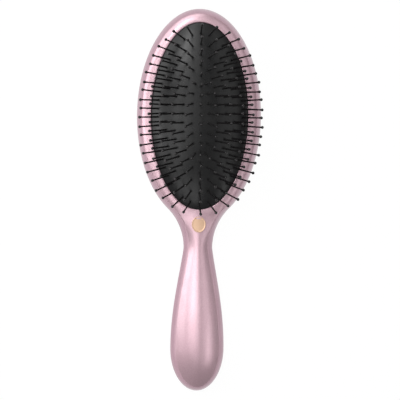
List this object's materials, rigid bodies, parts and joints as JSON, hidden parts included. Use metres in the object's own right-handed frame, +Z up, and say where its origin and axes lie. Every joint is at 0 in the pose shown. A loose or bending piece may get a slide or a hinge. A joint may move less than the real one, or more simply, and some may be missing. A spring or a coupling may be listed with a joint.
{
  "type": "detangling brush",
  "caption": "Oval cushion brush with a flared handle: a domed rubber pad in a two-shell plastic body, set with leaning rows of ball-tipped pins that sink with the pad.",
  "frame": {"origin": "centre of the bounding box's underside, on the surface that the brush lies on", "axes": "+Y from the handle to the top of the head, +Z up along the pins, X across the brush"},
  "size_m": [0.073, 0.226, 0.04],
  "materials": {
    "shell": "pearl satin gloss",
    "rubber": "satin",
    "pins": "smooth nylon",
    "tray": "moulded",
    "badge": "satin rose gold"
  },
  "bodies": {
    "body": {"front_shell": "shell", "back_shell": "shell", "cushion": "rubber", "cushion_tray": "tray", "badge": "badge"},
    "centre_pins": {"pins_centre": "pins"},
    "ring_1_pins": {"pins_ring_1": "pins"},
    "ring_2_pins": {"pins_ring_2": "pins"},
    "ring_3_pins": {"pins_ring_3": "pins"},
    "ring_4_pins": {"pins_ring_4": "pins"},
    "ring_5_pins": {"pins_ring_5": "pins"}
  },
  "joints": [
    {"name": "cushion_press", "type": "slide", "parent": "body", "child": "centre_pins", "axis": [0, 0, -1], "range_m": [0, 0.004], "stiffness_N_per_m": 1500, "deforming": ["cushion"]},
    {"name": "ring_1_press", "type": "slide", "parent": "body", "child": "ring_1_pins", "axis": [0, 0, -1], "range_m": [0, 0.00368]},
    {"name": "ring_2_press", "type": "slide", "parent": "body", "child": "ring_2_pins", "axis": [0, 0, -1], "range_m": [0, 0.00336]},
    {"name": "ring_3_press", "type": "slide", "parent": "body", "child": "ring_3_pins", "axis": [0, 0, -1], "range_m": [0, 0.00288]},
    {"name": "ring_4_press", "type": "slide", "parent": "body", "child": "ring_4_pins", "axis": [0, 0, -1], "range_m": [0, 0.0022]},
    {"name": "ring_5_press", "type": "slide", "parent": "body", "child": "ring_5_pins", "axis": [0, 0, -1], "range_m": [0, 0.0012]}
  ],
  "couplings": [
    {"joint": "ring_1_press", "follows": "cushion_press", "ratio": 0.92},
    {"joint": "ring_2_press", "follows": "cushion_press", "ratio": 0.84},
    {"joint": "ring_3_press", "follows": "cushion_press", "ratio": 0.72},
    {"joint": "ring_4_press", "follows": "cushion_press", "ratio": 0.55},
    {"joint": "ring_5_press", "follows": "cushion_press", "ratio": 0.3}
  ]
}
